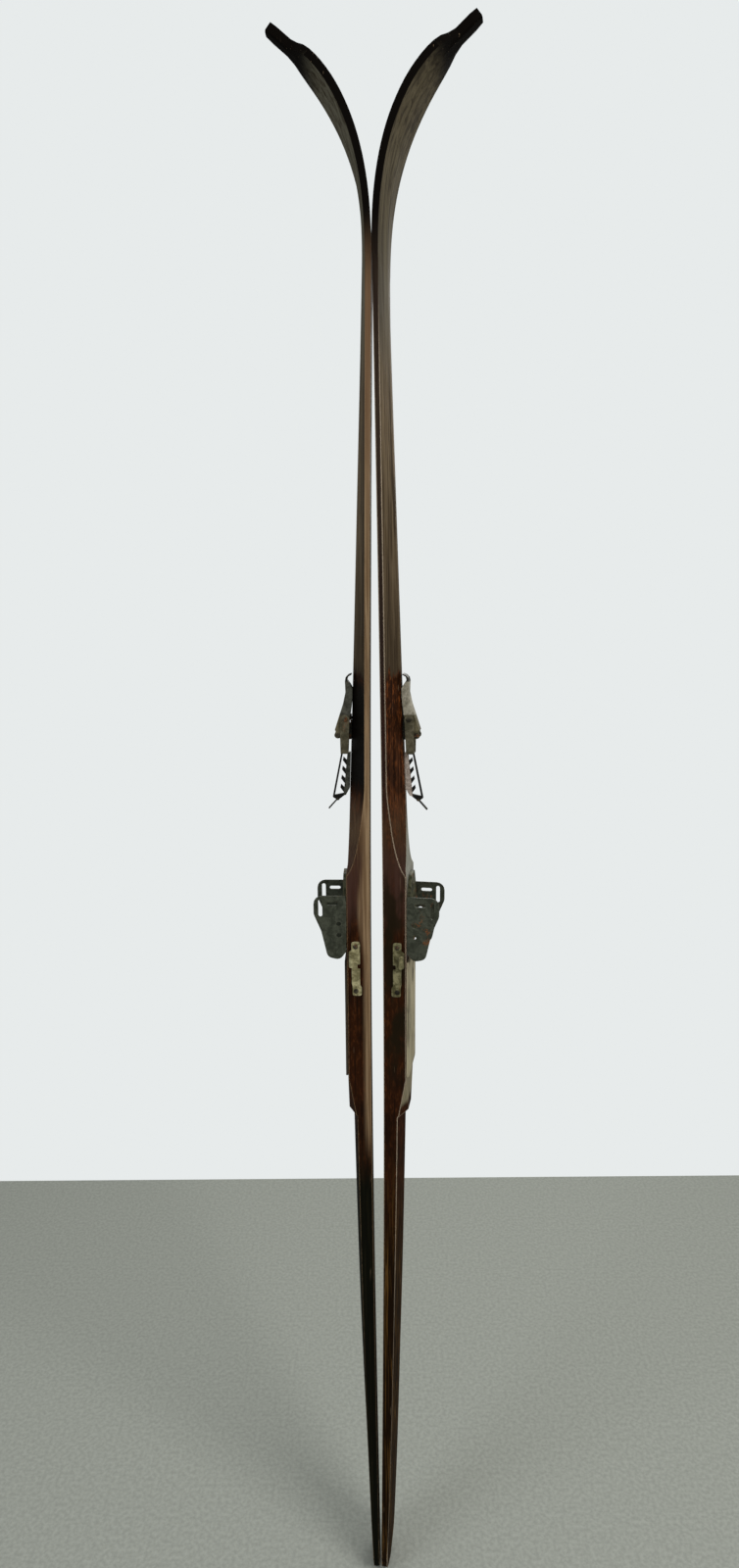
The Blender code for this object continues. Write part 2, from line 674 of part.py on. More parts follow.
def unit(points):
    """(along, high) points of the lever unit as (out, height) bench points."""
    return [(seat_out() + high, LEVER_PIVOT_HEIGHT + along) for along, high in points]


def millimetres(points):
    """Points given in millimetres."""
    return [(a * MM, b * MM) for a, b in points]


def across_bar(name, outline, half):
    """A unit outline made into a solid from -half to +half across the ski."""
    return extrude(name, unit(outline), "y", -half, half)


def across_hole(middle, radius):
    """A cutter right across the unit."""
    return across_bar("hole", circle(middle, radius, 16), 0.03)


def make_bracket():
    """The fixed U-shaped bracket: a foot screwed to the ridge and two ears for the lever's pin."""
    foot = across_bar("lever_bracket", millimetres([(-5.7, 0.3), (26.4, 0.3), (26.4, 1.8), (-5.7, 1.8)]),
                      BRACKET_HALF)
    eye = arc((0, PIVOT_HIGH), 3.9 * MM, 0, 180, 8)
    ears = across_bar("ears", eye + millimetres([(-5.7, 6), (-5.7, 0.9), (10, 0.9)]), BRACKET_HALF)
    gap = across_bar("gap", millimetres([(-20, 1.8), (30, 1.8), (30, 40), (-20, 40)]),
                     BRACKET_HALF - SHEET)
    combine(ears, [gap], "DIFFERENCE")
    combine(foot, [ears], "UNION")
    cutters = [across_hole((0, PIVOT_HIGH), PIVOT_PIN_RADIUS + CLEAR)]
    for _, _, _, height, kind in top_screw_places()[1:]:
        hole = circle((0, height), kind["shank"] + CLEAR, 12)
        cutters.append(extrude("hole", hole, "x", seat_out() - MM, seat_out() + 5 * MM))
    return tidy(combine(foot, cutters, "DIFFERENCE"))


def make_lever():
    """The pressed U-section throw lever, from its pivot eye to the curled finger tip."""
    web_side = millimetres([(78.4, 0.1), (76.9, 3.9), (73.5, 7.2), (69, 8.1), (55, 7.6), (41, 10.6),
                            (28, 14.9), (6.6, 21.9), (5.0, 20.6)])
    eye = arc((0, PIVOT_HIGH), 4.4 * MM, 50, 270, 10)
    open_side = millimetres([(10, 8.2), (20, 3.2), (28, 1.4), (40, -0.3), (50, -1.3), (60, -1.3),
                             (65, 1.4), (70.5, 5.2), (74.6, 4.0), (77.0, -0.3)])
    lever = across_bar("throw_lever", web_side + eye + open_side, LEVER_HALF)
    hollow = millimetres([(66.5, -5), (66.5, 6.4), (55, 6.1), (41.4, 9.1), (28.4, 13.3), (7.4, 20.0),
                          (6.4, 30), (-10, 30), (-10, -5)])
    cutters = [across_bar("hollow", hollow, LEVER_HALF - SHEET),
               across_hole((0, PIVOT_HIGH), PIVOT_PIN_RADIUS + CLEAR),
               across_hole(RACK_PIN, RACK_PIN_RADIUS + CLEAR)]
    return tidy(combine(lever, cutters, "DIFFERENCE"))


def rack_strip(along):
    """Height of the toothed strip's upper edge."""
    return 6.0 * MM + (-22.4 * MM - along) * (5.8 / 56.1)


def rack_window():
    """The long opening of the rack, with the teeth standing up into it."""
    outline = millimetres([(-25.5, 12.3), (-25.5, 6.4)])
    for i in range(TOOTH_COUNT):
        root = FIRST_TOOTH - i * TOOTH_PITCH
        front = root + TOOTH_THICK / 2
        back = root - TOOTH_THICK
        outline.append((front, rack_strip(front)))
        outline.append((front + TOOTH_REACH[0], rack_strip(front) + TOOTH_REACH[1]))
        outline.append((front + TOOTH_REACH[0] - TOOTH_TIP, rack_strip(front) + TOOTH_REACH[1] + MM))
        outline.append((back, rack_strip(back)))
    outline += millimetres([(-77.4, 11.9), (-79.7, 23.2)])
    return outline


def make_rack():
    """The tension rack: a fork round the lever, and a single toothed ladder behind it."""
    eye = arc(RACK_PIN, 5.8 * MM, 90, -90, 8)
    fork_side = eye + millimetres([(4, 3.6), (-24.0, 5.0), (-24.0, 14.6), (8, 15.2)])
    fork = across_bar("tension_rack", fork_side, RACK_HALF)
    gap = across_bar("gap", millimetres([(-22.0, -5), (40, -5), (40, 40), (-22.0, 40)]),
                     RACK_HALF - 1.2 * MM)
    combine(fork, [gap], "DIFFERENCE")
    rail = across_bar("rail", millimetres([(-23.0, 2.0), (-70, 3.6), (-79.5, 8.8), (-79.5, 11.7),
                                           (-23.0, 6.1)]), RAIL_HALF)
    lug = arc(CLIP_PIN, 2.5 * MM, 260, 110, 6)
    ladder = across_bar("ladder", millimetres([(-23.2, 5.6), (-70.2, 6.0), (-79.2, 9.2)]) + lug
                        + millimetres([(-83.2, 25.4), (-82.0, 26.2), (-23.2, 14.2)]), LADDER_HALF)
    window = across_bar("window", rack_window(), 0.02)
    combine(ladder, [window], "DIFFERENCE")
    combine(rail, [ladder], "UNION")
    combine(fork, [rail], "UNION")
    cutters = [across_hole(RACK_PIN, RACK_PIN_RADIUS + CLEAR),
               across_hole(CLIP_PIN, CLIP_PIN_RADIUS + CLEAR)]
    return tidy(combine(fork, cutters, "DIFFERENCE"))


def make_clip():
    """The little hinged tail behind the rack: a forked eye and a narrow tongue at 45 degrees."""
    along, high = CLIP_PIN
    barrel = across_bar("clip", circle(CLIP_PIN, 1.9 * MM, 12), CLIP_HALF)
    way = Vector((-0.743, 0.669))
    side = Vector((0.669, 0.743)) * 0.75 * MM
    start = Vector((along, high)) + way * 1.3 * MM
    end = Vector((along, high)) + way * 17.5 * MM
    tongue = across_bar("tongue", [tuple(start + side), tuple(end + side), tuple(end - side),
                                   tuple(start - side)], CLIP_HALF - 0.4 * MM)
    combine(barrel, [tongue], "UNION")
    fork_gap = across_bar("gap", circle(CLIP_PIN, 3.2 * MM, 16), LADDER_HALF + CLEAR)
    cutters = [fork_gap, across_hole(CLIP_PIN, CLIP_PIN_RADIUS + CLEAR)]
    return tidy(combine(barrel, cutters, "DIFFERENCE"))


def make_pin(name, shank, head, inside, thick):
    """A riveted pin along y through the unit, its heads just outside the pieces that it joins."""
    half = inside + thick
    profile = [(-half, 0), (-half, head * 0.7), (-half + thick / 2, head), (-inside, head),
               (-inside, shank), (inside, shank), (inside, head), (half - thick / 2, head),
               (half, head * 0.7), (half, 0)]
    pin = lathe(name, profile, 16)
    turn(pin, Matrix.Rotation(math.pi / 2, 4, "Z"))
    return tidy(pin)


# ---- assembly --------------------------------------------------------------------------------

def bench_frame(side):
    """An empty that stands for one ski's bench frame in the world."""
    frame = bpy.data.objects.new(f"{side}_ski_frame", None)
    bpy.context.scene.collection.objects.link(frame)
    if side == "right":
        frame.location = (HALF_PAIR_GAP, PAIR_BACK, 0)
        frame.rotation_euler = (0, 0, -SPLAY)
    else:
        frame.location = (-HALF_PAIR_GAP, PAIR_BACK, 0)
        frame.rotation_euler = (0, 0, math.pi + SPLAY)
    return frame


def place_pair(pattern, suffix, paint, origin=(0, 0, 0), rotation=(0, 0, 0), moved=False):
    """Put a piece on both skis. A moved piece's mesh is first shifted so its origin is its axis."""
    if moved:
        turn(pattern, Matrix.Translation(-Vector(origin)))
    pattern.data.materials.clear()
    pattern.data.materials.append(paint)
    for side, frame in FRAMES.items():
        copy = bpy.data.objects.new(f"{side}_{suffix}", pattern.data)
        bpy.context.scene.collection.objects.link(copy)
        copy.parent = frame
        copy.location = origin
        copy.rotation_euler = rotation
    bpy.data.objects.remove(pattern, do_unlink=True)


def build_wood(paint):
    """The two boards and their foot pads."""
    place_pair(make_ski(), "ski", paint["wood"])
    place_pair(make_foot_pad(), "foot_pad", paint["pad"])


def build_toe_iron(paint):
    """Toe plate, both ears and their clamp screws."""
    place_pair(make_toe_plate(), "toe_plate", paint["iron"])
    for side, sign in SIDES.items():
        ear = make_toe_ear(side, sign)
        axis_point = (clamp_seat(), sign * EAR_OUTER_FACE, EAR_FRONT - CLAMP_BACK[0])
        place_pair(ear, f"toe_ear_{side}", paint["iron"], origin=axis_point, moved=True)
    for name, out, across, height in clamp_places():
        place_pair(make_screw(name, CLAMP), name, paint["screw"], origin=(out, across, height))


def build_guides(paint):
    """Cable guides and their screws on both sidewalls."""
    for side, sign in SIDES.items():
        place_pair(make_cable_guide(side, sign), f"cable_guide_{side}", paint["brassy"])
    for name, out, across, height in guide_screw_places():
        turned = (0, 0, math.copysign(math.pi / 2, across))
        place_pair(make_screw(name, WOOD), name, paint["screw"], (out, across, height), turned)


def build_lever_unit(paint):
    """Bracket, lever, rack, clip, their pins, and the screws into the ridge."""
    def axis_at(point):
        out, height = unit([point])[0]
        return (out, 0.0, height)

    pivot = axis_at((0, PIVOT_HIGH))
    rack_axis = axis_at(RACK_PIN)
    clip_axis = axis_at(CLIP_PIN)
    place_pair(make_bracket(), "lever_bracket", paint["iron"])
    place_pair(make_lever(), "throw_lever", paint["galvanised"], pivot, moved=True)
    place_pair(make_rack(), "tension_rack", paint["galvanised"], rack_axis, moved=True)
    place_pair(make_clip(), "rack_clip", paint["iron"], clip_axis, moved=True)
    place_pair(make_pin("pivot_pin", PIVOT_PIN_RADIUS, PIN_HEAD, LEVER_HALF + CLEAR, 0.7 * MM),
               "lever_pivot_pin", paint["screw"], pivot)
    place_pair(make_pin("rack_pin", RACK_PIN_RADIUS, PIN_HEAD, RACK_HALF + CLEAR, 0.9 * MM),
               "rack_pin", paint["screw"], rack_axis)
    place_pair(make_pin("clip_pin", CLIP_PIN_RADIUS, CLIP_PIN_HEAD, CLIP_HALF + CLEAR, 0.6 * MM),
               "clip_pin", paint["screw"], clip_axis)
    for name, out, across, height, kind in top_screw_places():
        place_pair(make_screw(name, kind), name, paint["screw"], (out, across, height))


def paints():
    """The sub-parts' materials."""
    return {
        "wood": material("varnished_hickory", (0.100, 0.042, 0.020), 0.45, 0.0),
        "pad": material("worn_foot_pad", (0.36, 0.31, 0.22), 0.75, 0.0),
        "iron": material("blackened_iron", (0.075, 0.080, 0.065), 0.55, 0.8),
        "brassy": material("dull_plated_steel", (0.30, 0.29, 0.17), 0.5, 0.8),
        "galvanised": material("galvanised_steel", (0.24, 0.23, 0.17), 0.5, 0.85),
        "screw": material("old_screw_steel", (0.14, 0.13, 0.09), 0.5, 0.85),
    }


clear_scene()
FRAMES = {side: bench_frame(side) for side in SIDES}
PAINT = paints()
build_wood(PAINT)
build_toe_iron(PAINT)
build_guides(PAINT)
build_lever_unit(PAINT)
bpy.context.view_layer.update()
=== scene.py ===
"""The pair of wooden skis in the photograph, dressed over the CAD frame.

The CAD gives every shape. This script softens its edges a little and adds the worn wood, the
old metal, the floor, the light and the camera.
"""

import math

import bpy
from mathutils import Matrix, Vector

MM = 0.001

# ---- how the CAD stands ------------------------------------------------------------------------
SPLAY = math.radians(4.4)
HALF_PAIR_GAP = 3.7 * MM
PAIR_BACK = 1.17 * MM
CAMBER = 7.6 * MM
CONTACT_HEIGHT = 1.838           # the camber's arch ends here, along the ski
LEVER_PIVOT_HEIGHT = 1.2984
SEAT_OUT = 29.4 * MM             # the ridge seat under the lever, out from the running surface
SIDES = {"left": -1, "right": 1}

# ---- camera, as in the photograph --------------------------------------------------------------
CAMERA_AT = (0.1083, -1.1827, 1.4757)
CAMERA_PITCH = math.radians(11.553)
CAMERA_YAW = math.radians(5.768)
CAMERA_ROLL = math.radians(-0.443)
CAMERA_LENS = 21.36
SENSOR = 36.0
CLIP_START = 0.01

# ---- floor, light and the world ----------------------------------------------------------------
FLOOR_HALF_WIDTH = 8.0
FLOOR_NEAR = -9.0
FLOOR_FAR = 0.97
FLOOR_DROP = 0.5 * MM
FLOOR_COLOUR = (0.410, 0.432, 0.392)
WEAVE_SHADE = 0.80
BACKDROP = (0.80, 0.83, 0.83)    # what the camera sees behind the pair
AMBIENT = (0.31, 0.315, 0.30)    # what lights the pair from all round

# each light's name, place, the height it is aimed at, size, power and colour
LIGHTS = (
    ("key", (1.7, -1.5, 2.4), 1.1, (1.2, 1.8), 40.0, (1.0, 0.985, 0.95)),
    ("fill", (-1.6, -1.6, 1.9), 1.0, (1.0, 1.8), 16.0, (0.94, 0.97, 1.0)),
    ("back", (0.3, 1.9, 2.4), 1.1, (1.2, 1.6), 22.0, (1.0, 0.99, 0.97)),
)

# ---- wood colours ------------------------------------------------------------------------------
MAHOGANY = (0.026, 0.0075, 0.0022)
MAHOGANY_FLECK = (0.175, 0.052, 0.013)
MAHOGANY_DARK = (0.0075, 0.0032, 0.0016)
RUBBED_ORANGE = (0.175, 0.062, 0.026)
MAROON_HAZE = (0.056, 0.026, 0.019)
GREY_BROWN = (0.078, 0.052, 0.028)
GREY_BROWN_LIGHT = (0.175, 0.128, 0.076)
GREY_BROWN_DARK = (0.020, 0.012, 0.0065)
BARE_WOOD = (0.330, 0.225, 0.130)
BARE_WOOD_DIM = (0.165, 0.100, 0.052)
RED_STAIN = (0.120, 0.058, 0.030)
NEAR_BLACK = (0.0028, 0.0018, 0.0012)
TAIL_WOOD = {"left": (0.0035, 0.0036, 0.0018), "right": (0.0100, 0.0042, 0.0012)}
TAIL_STREAK = {"left": (0.030, 0.024, 0.010), "right": (0.185, 0.092, 0.022)}
DARK_WALL = (0.018, 0.010, 0.008)
PLATFORM_GRIME = (0.0125, 0.0085, 0.0035)
# the left tip's face tone is lightened by a painted sheen
TIP_FACE_WITH_LEFT_SHEEN = {"left": (0.135, 0.130, 0.098), "right": (0.105, 0.088, 0.054)}
TIP_STAIN = (0.042, 0.034, 0.021)
# arris tones: bare wood from wear, and on the right ski also a painted highlight along the sidewall's top
# edge
WORN_ARRIS_AND_HIGHLIGHT = {"left": (0.300, 0.200, 0.110), "right": (0.620, 0.500, 0.370)}
# pale flat top of the right ski's front ramp: dust with a painted reflection
DUST_AND_REFLECTION_TOP = (0.300, 0.300, 0.255)
BARE_HEEL = (0.270, 0.235, 0.155)
BASE_TAR = (0.016, 0.011, 0.008)
BASE_SCRAPE = (0.150, 0.095, 0.052)
SCRATCH = (0.240, 0.170, 0.105)
# pad tones: painted light on the right ski, painted shade on the left
PAD_LIT_AND_SHADED = {"left": ((0.012, 0.0075, 0.0045), (0.050, 0.034, 0.020)),
             "right": ((0.170, 0.145, 0.092), (0.470, 0.410, 0.270))}
PAD_STAIN = (0.040, 0.034, 0.024)
PAD_GRIME = (0.020, 0.018, 0.014)

# ---- where the wood's looks begin and end, in metres along the ski from its tail ---------------
# a look that comes in over a stretch: (not there yet, fully there)
TAIL_TO_MAHOGANY = {"left": (0.66, 0.76), "right": (0.52, 0.76)}
MAHOGANY_TO_GREY = (1.374, 1.382)
VARNISH_TO_DULL = (1.370, 1.385)
LIVELY_FLECKS = (1.16, 1.24)
DARKER_TO_BINDING = (1.62, 1.40)
FORE_WALL = (1.17, 1.23)
BARE_WALL_STOPS = (1.92, 1.86)
RED_WALL = (1.50, 1.75)
BLACK_TIP_WALL = (1.80, 1.90)
GREY_TIP_FACE = (1.68, 1.82)
BLACK_NIB = (2.035, 2.062)
WORN_ARRIS_STOPS = (1.84, 1.72)
ARRIS_PAST_TAIL = (0.30, 0.80)
SCUFFED_TAIL_END = (0.10, 0.03)
ROUGH_TIP = (1.80, 1.90)
ROUGH_TAIL = (0.90, 0.75)
RELIEF_STOPS = (1.95, 1.80)

# a look that fills a stretch: (begins, ends)
ORANGE_PATCH = (1.19, 1.30)
RUBBED_SWEEP = (1.12, 1.205)
HAZY_PATCH = (1.06, 1.15)
BLACK_FACET = (1.222, 1.376)
BARE_STRIP = (0.74, 1.24)
# the stretch where the left bare strip reaches further out as a painted highlight
HIGHLIGHT_STRETCH = (1.03, 1.12)
GRIMY_PLATFORM = (0.84, 1.12)
DUST_AND_REFLECTION_RAMP = (1.105, 1.185)
HEEL = (0.795, 0.85)

# ---- how strong the wood's looks are -----------------------------------------------------------
RAGGEDNESS = 0.05                # how far a border wanders along the ski
STREAK_STRENGTH = {"left": 0.30, "right": 0.70}
SWEEP_STRENGTH = {"left": 0.62, "right": 0.22}
ARRIS_RADIUS = {"left": 1.6 * MM, "right": 2.0 * MM}
ARRIS_LEAST = {"left": 0.35, "right": 0.75}      # the least wear along an arris; on the right ski also the least painted highlight
STRIP_DEPTH = (12 * MM, 4 * MM)  # not there yet and fully there, out from the running surface
HIGHLIGHT_REACH = 7 * MM             # how much further out the strip reaches over the stretch where it is a painted highlight
WOOD_SHEEN = 0.05
PAD_SHEEN = 0.3
METAL_SHEEN = 0.22

# ---- metal -------------------------------------------------------------------------------------
RUST = ((0.040, 0.016, 0.007), (0.200, 0.080, 0.028))
GRIME = (0.012, 0.011, 0.008)

# each finish's dark and light tone, how much of it rusts, how metallic it is, its rubbed edges
METAL_FINISHES = {
    "toe_iron": ((0.040, 0.044, 0.031), (0.080, 0.086, 0.063), 0.38, 0.35, (0.170, 0.160, 0.115)),
    "toe_plate": ((0.030, 0.034, 0.016), (0.120, 0.118, 0.070), 0.8, 0.35, (0.220, 0.205, 0.130)),
    "bracket": ((0.009, 0.009, 0.007), (0.034, 0.032, 0.024), 0.6, 0.3, (0.090, 0.085, 0.060)),
    # the two guides are one brass; the left guide is painted lighter, its light tone a painted highlight
    "left_guide": ((0.200, 0.175, 0.085), (0.520, 0.470, 0.270), 0.3, 0.25, (0.600, 0.540, 0.340)),
    "right_guide": ((0.090, 0.080, 0.034), (0.290, 0.262, 0.140), 0.3, 0.3, (0.400, 0.370, 0.220)),
    "screw": ((0.020, 0.017, 0.011), (0.085, 0.074, 0.048), 0.9, 0.4, (0.170, 0.155, 0.110)),
}

# the lever and the rack; places are along the ski from the lever's pivot, as (one look, next)
# lever tones: one metal, painted light on the right ski and painted shade on the left
LEVER_LIT_AND_SHADED = {"left": ((0.060, 0.058, 0.044), (0.140, 0.136, 0.110)),
               "right": ((0.270, 0.245, 0.185), (0.560, 0.520, 0.420))}
LEVER_OLIVE = ((0.078, 0.066, 0.034), (0.185, 0.158, 0.094))
LEVER_RIM = (0.020, 0.020, 0.016)
LEVER_WORN = (0.300, 0.290, 0.230)
OLIVE_TO_TONES = (24 * MM, 27 * MM)
TONES_TO_RIM = (67 * MM, 70 * MM)
LEVER_BORDER_WANDER = 12 * MM
# rail tones: one metal, painted light on the right ski and painted shade on the left
RAIL_LIT_AND_SHADED = {"left": ((0.040, 0.042, 0.032), (0.110, 0.112, 0.090)),
              "right": ((0.330, 0.260, 0.220), (0.640, 0.540, 0.480))}
FORK_OLIVE = ((0.075, 0.065, 0.038), (0.160, 0.140, 0.090))
# teeth and outer rod painted near-black as shade, where they stand backlit
TEETH_SHADE_BLACK = (0.010, 0.010, 0.009)
RACK_WORN = (0.180, 0.170, 0.130)
RAIL_TOP_AT_PIVOT = 3.7 * MM     # above the ridge seat
RAIL_SLOPE = 0.1034
RAIL_TO_TEETH = 0.8 * MM
RAIL_TO_FORK = (-24.5 * MM, -22.5 * MM)

# ---- softened edges ----------------------------------------------------------------------------
WELD_DISTANCE = 0.002 * MM
SOFT_FROM_ANGLE = math.radians(35)
SCREW_SOFTENING = 0.12 * MM
GUIDE_SOFTENING = 0.25 * MM
OWN_SOFTENING = {"ski": 0.5 * MM, "throw_lever": 0.3 * MM, "tension_rack": 0.2 * MM, "foot_pad": 0.4 * MM}
SHARED_FINISH = {
    "toe_plate": ("toe_plate", 0.35 * MM),
    "toe_ear": ("toe_iron", 0.3 * MM),
    "lever_bracket": ("bracket", 0.2 * MM),
    "rack_clip": ("bracket", 0.15 * MM),
}


# ---- node helpers ------------------------------------------------------------------------------

class Nodes:
    """Short ways to build one material's node tree."""

    def __init__(self, name):
        self.material = bpy.data.materials.new(name)
        self.material.use_nodes = True
        self.tree = self.material.node_tree
        self.shader = self.tree.nodes["Principled BSDF"]

    def add(self, kind, **settings):
        node = self.tree.nodes.new(kind)
        for key, value in settings.items():
            setattr(node, key, value)
        return node

    def put(self, socket, value):
        """Links a node's output to the socket, or sets the socket to a plain value."""
        if isinstance(value, bpy.types.NodeSocket):
            self.tree.links.new(value, socket)
        else:
            socket.default_value = value

    def math(self, operation, a, b=0.0):
        node = self.add("ShaderNodeMath", operation=operation)
        self.put(node.inputs[0], a)
        self.put(node.inputs[1], b)
        return node.outputs[0]

    def times(self, a, b):
        return self.math("MULTIPLY", a, b)

    def plus(self, a, b):
        return self.math("ADD", a, b)

    def minus(self, a, b):
        return self.math("SUBTRACT", a, b)

    def step(self, value, low, high, to_low=0.0, to_high=1.0):
        """Smooth ramp of a value from low to high."""
        node = self.add("ShaderNodeMapRange", interpolation_type="SMOOTHSTEP", clamp=True)
        self.put(node.inputs["Value"], value)
        node.inputs["From Min"].default_value = low
        node.inputs["From Max"].default_value = high
        node.inputs["To Min"].default_value = to_low
        node.inputs["To Max"].default_value = to_high
        return node.outputs[0]

    def band(self, value, low, high, soft):
        """1 between low and high, with soft ends."""
        rise = self.step(value, low - soft, low + soft)
        fall = self.step(value, high - soft, high + soft, 1.0, 0.0)
        return self.times(rise, fall)

    def mix(self, factor, a, b):
        """Mix of two colours."""
        node = self.add("ShaderNodeMix", data_type="RGBA")
        self.put(node.inputs["Factor"], factor)
        self.put(node.inputs["A"], (*a, 1.0) if isinstance(a, tuple) else a)
        self.put(node.inputs["B"], (*b, 1.0) if isinstance(b, tuple) else b)
        return node.outputs["Result"]

    def blend(self, factor, a, b):
        """Mix of two plain values."""
        node = self.add("ShaderNodeMix", data_type="FLOAT")
        self.put(node.inputs["Factor"], factor)
        self.put(node.inputs["A"], a)
        self.put(node.inputs["B"], b)
        return node.outputs["Result"]

    def mapped(self, vector, scale, location=(0, 0, 0), rotation=(0, 0, 0), kind="POINT"):
        node = self.add("ShaderNodeMapping", vector_type=kind)
        self.put(node.inputs["Vector"], vector)
        node.inputs["Location"].default_value = location
        node.inputs["Rotation"].default_value = rotation
        node.inputs["Scale"].default_value = scale
        return node.outputs[0]

    def noise(self, vector, scale, detail, roughness, distortion=0.0):
        node = self.add("ShaderNodeTexNoise")
        self.put(node.inputs["Vector"], vector)
        node.inputs["Scale"].default_value = scale
        node.inputs["Detail"].default_value = detail
        node.inputs["Roughness"].default_value = roughness
        node.inputs["Distortion"].default_value = distortion
        return node.outputs["Fac"]

    def specks(self, vector, scale):
        node = self.add("ShaderNodeTexVoronoi")
        self.put(node.inputs["Vector"], vector)
        node.inputs["Scale"].default_value = scale
        return node.outputs["Distance"]

    def point(self):
        return self.add("ShaderNodeTexCoord").outputs["Object"]

    def normal(self):
        return self.add("ShaderNodeTexCoord").outputs["Normal"]

    def parts(self, vector):
        node = self.add("ShaderNodeSeparateXYZ")
        self.put(node.inputs[0], vector)
        return node.outputs

    def edges(self, radius, low, high):
        """1 on the sharp edges of a piece, from how far a rounded normal would turn."""
        rounded = self.add("ShaderNodeBevel", samples=4)
        rounded.inputs["Radius"].default_value = radius
        true = self.add("ShaderNodeNewGeometry").outputs["Normal"]
        dot = self.add("ShaderNodeVectorMath", operation="DOT_PRODUCT")
        self.put(dot.inputs[0], rounded.outputs[0])
        self.put(dot.inputs[1], true)
        return self.step(dot.outputs["Value"], high, low, 0.0, 1.0)

    def bump(self, height, strength, distance):
        node = self.add("ShaderNodeBump")
        node.inputs["Strength"].default_value = strength
        node.inputs["Distance"].default_value = distance
        self.put(node.inputs["Height"], height)
        return node.outputs[0]

    def sheen(self, level):
        self.shader.inputs["Specular IOR Level"].default_value = level

    def finish(self, colour, roughness, normal=None, metallic=None):
        self.put(self.shader.inputs["Base Color"], colour)
        self.put(self.shader.inputs["Roughness"], roughness)
        if normal is not None:
            self.put(self.shader.inputs["Normal"], normal)
        if metallic is not None:
            self.put(self.shader.inputs["Metallic"], metallic)
        return self.material


def ski_turn(side):
    """How far a ski is turned about the vertical."""
    return -SPLAY if side == "right" else math.pi + SPLAY


def bench(n, side, vector):
    """A ski's own coordinates: out of the running surface, across, and along."""
    middle = (SIDES[side] * HALF_PAIR_GAP, PAIR_BACK, 0)
    return n.mapped(vector, (1, 1, 1), middle, (0, 0, ski_turn(side)), "TEXTURE")


def bench_normal(n, side):
    """The surface normal in a ski's own coordinates."""
    return n.mapped(n.normal(), (1, 1, 1), (0, 0, 0), (0, 0, ski_turn(side)), "TEXTURE")


# ---- wood --------------------------------------------------------------------------------------

def grain_fields(n, local, seed):
    """The wood's patterns, all longer along the ski than across it."""
    shifted = n.mapped(local, (1, 1, 1), (0.37 * seed, 0.11, 0.5 * seed))
    return {
        "grain": n.noise(n.mapped(shifted, (420, 420, 7)), 1.0, 6.0, 0.65, 0.5),
        "figure": n.noise(n.mapped(shifted, (120, 120, 3.2)), 1.0, 4.0, 0.6, 1.0),
        "pores": n.noise(n.mapped(shifted, (1100, 1100, 26)), 1.0, 3.0, 0.6),
        "fleck": n.noise(n.mapped(shifted, (360, 360, 95)), 1.0, 5.0, 0.66, 0.4),
        "cloud": n.noise(n.mapped(shifted, (40, 40, 16)), 1.0, 3.0, 0.5),
        "scratch": n.noise(n.mapped(shifted, (480, 480, 15), rotation=(0, 0.05, 0)), 1.0, 2.0, 0.5),
    }


def ski_fields(n, side):
    """The wood's patterns at a point of the ski, where it lies and which way it faces."""
    local = bench(n, side, n.point())
    out, _, along = n.parts(local)
    facing_out, facing_across, _ = n.parts(bench_normal(n, side))
    turned = n.math("ABSOLUTE", facing_across)
    arch = n.math("SINE", n.times(along, math.pi / CONTACT_HEIGHT))
    at = grain_fields(n, local, SIDES[side])
    at["along"] = along
    at["ragged"] = n.plus(along, n.times(n.minus(at["figure"], 0.5), RAGGEDNESS))
    at["depth"] = n.minus(out, n.times(arch, CAMBER))
    at["sidewall"] = n.step(turned, 0.80, 0.93)
    at["top"] = n.minus(1.0, at["sidewall"])
    at["ridge_flat"] = n.step(turned, 0.14, 0.06)
    at["faces_out"] = n.step(facing_out, 0.60, 0.85)
    at["base"] = n.step(facing_out, -0.6, -0.9)
    at["fore_wall"] = n.times(at["sidewall"], n.step(at["ragged"], *FORE_WALL))
    return at


def mahogany(n, at):
    """Dark red-brown stain with orange flecks, most of them under the lever, and darker clouds."""
    lively = n.step(at["along"], *LIVELY_FLECKS, 0.24, 1.0)
    flecks = n.times(n.step(at["fleck"], 0.48, 0.66), lively)
    colour = n.mix(flecks, MAHOGANY, MAHOGANY_FLECK)
    rubbed = n.times(n.band(at["along"], *ORANGE_PATCH, 0.03), n.step(at["figure"], 0.44, 0.62))
    colour = n.mix(n.times(rubbed, 0.5), colour, RUBBED_ORANGE)
    colour = n.mix(n.step(at["grain"], 0.50, 0.66, 0.0, 0.8), colour, MAHOGANY_DARK)
    return n.mix(n.step(at["cloud"], 0.48, 0.62, 0.0, 0.65), colour, MAHOGANY_DARK)


def grey_wood(n, at):
    """Weathered grey-brown forebody, darker towards the binding."""
    colour = n.mix(n.step(at["grain"], 0.38, 0.62), GREY_BROWN, GREY_BROWN_LIGHT)
    colour = n.mix(n.step(at["figure"], 0.50, 0.66, 0.0, 0.75), colour, GREY_BROWN_DARK)
    return n.mix(n.step(at["along"], *DARKER_TO_BINDING, 0.0, 0.6), colour, GREY_BROWN_DARK)


def tail_wood(n, at, side):
    """The blackened tail: nearly plain on the left ski, streaked with tan on the right."""
    streak = n.step(at["grain"], 0.50, 0.66)
    return n.mix(n.times(streak, STREAK_STRENGTH[side]), TAIL_WOOD[side], TAIL_STREAK[side])


